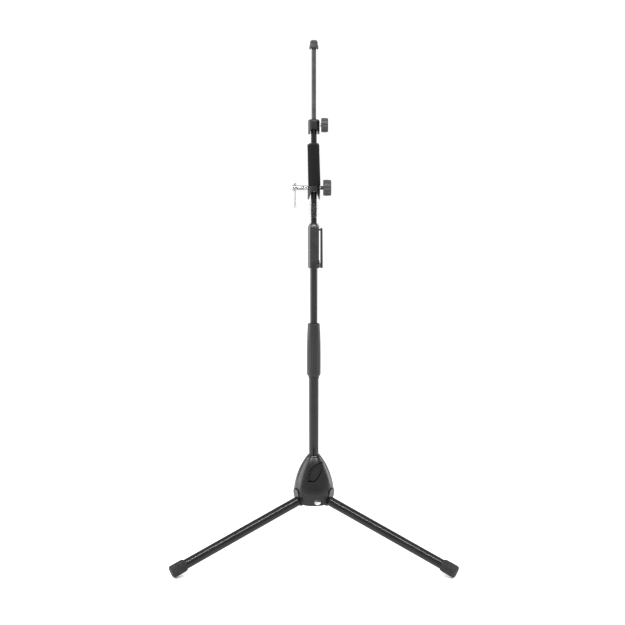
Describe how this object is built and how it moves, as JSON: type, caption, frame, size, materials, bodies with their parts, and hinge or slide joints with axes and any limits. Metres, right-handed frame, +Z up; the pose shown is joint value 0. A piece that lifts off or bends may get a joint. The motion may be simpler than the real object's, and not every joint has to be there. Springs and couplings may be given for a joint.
{
  "type": "trumpet stand",
  "caption": "Folding tripod stand with a telescoping pole, one-hand clutch, foam-covered tube, small screw clamp and slim top rod for holding an instrument.",
  "frame": {"origin": "middle of the stand's overall box, on the floor", "axes": "+Z up along the pole, front of the stand faces -Y, knobs on +X"},
  "size_m": [0.624, 0.5434, 1.1298],
  "materials": {
    "hub_plastic": "moulded, glossy black",
    "lever_plastic": "moulded, glossy black",
    "carrier_metal": "die cast, dark",
    "satin_black_steel": "satin black powder coat",
    "gloss_black_steel": "gloss black",
    "zinc_steel": "zinc plated",
    "chrome": "polished chrome",
    "grip_plastic": "glossy black",
    "clutch_plastic": "matt black",
    "knob_plastic": "matt dark grey",
    "bush_plastic": "natural moulded",
    "clear_plastic": "clear",
    "foam": "fine closed-cell foam, matt",
    "rubber": "matt rubber",
    "cap_rubber": "matt rubber"
  },
  "bodies": {
    "base": {"hub_housing": "hub_plastic", "hub_carrier": "carrier_metal", "hub_bolt": "zinc_steel", "tube_foot_plug": "zinc_steel", "leg_pins": "zinc_steel", "release_lever_pin": "zinc_steel", "lower_tube": "satin_black_steel", "clutch_seat_ring": "clutch_plastic", "clutch_bushing": "bush_plastic", "clutch_collet": "bush_plastic"},
    "release_lever": {"release_lever": "lever_plastic"},
    "twist_clutch": {"twist_clutch": "clutch_plastic"},
    "middle_pole": {"middle_tube": "satin_black_steel", "middle_tube_guide": "bush_plastic", "grip_body": "grip_plastic", "grip_cone": "grip_plastic", "trunnion_screws": "satin_black_steel", "clutch_spring": "zinc_steel"},
    "squeeze_lever": {"squeeze_lever": "lever_plastic"},
    "tilt_plate": {"tilt_plate": "zinc_steel"},
    "thin_pole": {"thin_tube": "gloss_black_steel", "thin_tube_guide": "bush_plastic", "stop_sleeve": "clear_plastic", "foam_sleeve": "foam", "foam_ring": "clutch_plastic", "rod_collar": "satin_black_steel"},
    "rod": {"top_rod": "satin_black_steel", "rod_guide": "bush_plastic", "rod_cap": "cap_rubber"},
    "rod_pad": {"rod_knob_pad": "bush_plastic"},
    "rod_knob": {"rod_knob": "knob_plastic", "rod_knob_stud": "zinc_steel"},
    "clamp_liner": {"clamp_liner": "bush_plastic"},
    "clamp": {"clamp_body": "satin_black_steel"},
    "clamp_knob_pad": {"clamp_knob_pad": "bush_plastic"},
    "clamp_knob": {"clamp_knob": "knob_plastic", "clamp_knob_stud": "zinc_steel"},
    "clamp_screw_pad": {"clamp_screw_pad": "bush_plastic"},
    "clamp_screw": {"clamp_screw": "chrome"},
    "tommy_bar": {"tommy_bar": "chrome", "tommy_bar_balls": "chrome"},
    "leg_left": {"leg_left": "gloss_black_steel", "knuckle_left": "hub_plastic", "foot_left": "rubber", "leg_screw_left": "zinc_steel"},
    "leg_right": {"leg_right": "gloss_black_steel", "knuckle_right": "hub_plastic", "foot_right": "rubber", "leg_screw_right": "zinc_steel"},
    "leg_rear": {"leg_rear": "gloss_black_steel", "knuckle_rear": "hub_plastic", "foot_rear": "rubber", "leg_screw_rear": "zinc_steel"}
  },
  "joints": [
    {"name": "leg_left_fold", "type": "hinge", "parent": "base", "child": "leg_left", "pos_m": [-0.02771, -0.10028, 0.12449], "axis": [0.5, -0.866, 0], "range_deg": [0, 70]},
    {"name": "leg_right_fold", "type": "hinge", "parent": "base", "child": "leg_right", "pos_m": [0.02771, -0.10028, 0.12449], "axis": [0.5, 0.866, 0], "range_deg": [0, 70]},
    {"name": "leg_rear_fold", "type": "hinge", "parent": "base", "child": "leg_rear", "pos_m": [0, -0.05228, 0.12449], "axis": [-1, 0, 0], "range_deg": [0, 70]},
    {"name": "release_lever_press", "type": "hinge", "parent": "base", "child": "release_lever", "pos_m": [0, -0.10068, 0.20019], "axis": [1, 0, 0], "range_deg": [0, 5], "stiffness_Nm_per_rad": 0.4, "springref_deg": -2.86},
    {"name": "twist_clutch_turn", "type": "hinge", "parent": "base", "child": "twist_clutch", "pos_m": [0, -0.08428, 0.40319], "axis": [0, 0, 1], "range_deg": [0, 120]},
    {"name": "middle_pole_slide", "type": "slide", "parent": "base", "child": "middle_pole", "axis": [0, 0, 1], "range_m": [-0.12, 0.12]},
    {"name": "squeeze_lever_press", "type": "hinge", "parent": "middle_pole", "child": "squeeze_lever", "pos_m": [0, -0.08428, 0.64919], "axis": [0, -1, 0], "range_deg": [0, 2.2], "stiffness_Nm_per_rad": 2, "springref_deg": -2.86},
    {"name": "tilt_plate_release", "type": "hinge", "parent": "middle_pole", "child": "tilt_plate", "pos_m": [0, -0.08428, 0.72239], "axis": [0, 1, 0], "range_deg": [0, 3], "deforming": ["clutch_spring"]},
    {"name": "thin_pole_slide", "type": "slide", "parent": "middle_pole", "child": "thin_pole", "axis": [0, 0, 1], "range_m": [-0.012, 0.18]},
    {"name": "rod_slide", "type": "slide", "parent": "thin_pole", "child": "rod", "axis": [0, 0, 1], "range_m": [-0.145, 0.1]},
    {"name": "rod_pad_travel", "type": "slide", "parent": "thin_pole", "child": "rod_pad", "axis": [1, 0, 0], "range_m": [0, 0.0016]},
    {"name": "rod_knob_turn", "type": "hinge", "parent": "rod_pad", "child": "rod_knob", "pos_m": [0, -0.08428, 0.95119], "axis": [1, 0, 0], "range_deg": [0, 720]},
    {"name": "clamp_slide", "type": "slide", "parent": "thin_pole", "child": "clamp_liner", "axis": [0, 0, 1], "range_m": [-0.007, 0]},
    {"name": "clamp_turn", "type": "hinge", "parent": "clamp_liner", "child": "clamp", "pos_m": [0, -0.08428, 0.81739], "axis": [0, 0, 1], "continuous": true},
    {"name": "clamp_knob_pad_travel", "type": "slide", "parent": "clamp", "child": "clamp_knob_pad", "axis": [1, 0, 0], "range_m": [0, 0.0016]},
    {"name": "clamp_knob_turn", "type": "hinge", "parent": "clamp_knob_pad", "child": "clamp_knob", "pos_m": [0, -0.08428, 0.81739], "axis": [1, 0, 0], "range_deg": [0, 720]},
    {"name": "clamp_screw_pad_travel", "type": "slide", "parent": "clamp", "child": "clamp_screw_pad", "axis": [-1, 0, 0], "range_m": [0, 0.0016]},
    {"name": "clamp_screw_turn", "type": "hinge", "parent": "clamp_screw_pad", "child": "clamp_screw", "pos_m": [0, -0.08428, 0.81739], "axis": [-1, 0, 0], "range_deg": [0, 720]},
    {"name": "tommy_bar_slide", "type": "slide", "parent": "clamp_screw", "child": "tommy_bar", "axis": [0, 0, 1], "range_m": [0, 0.032]}
  ],
  "couplings": [
    {"joint": "tilt_plate_release", "follows": "squeeze_lever_press", "ratio": 1.3636},
    {"joint": "rod_pad_travel", "follows": "rod_knob_turn", "m_per_rad": 0.00012732},
    {"joint": "clamp_knob_pad_travel", "follows": "clamp_knob_turn", "m_per_rad": 0.00012732},
    {"joint": "clamp_screw_pad_travel", "follows": "clamp_screw_turn", "m_per_rad": 0.00012732}
  ]
}
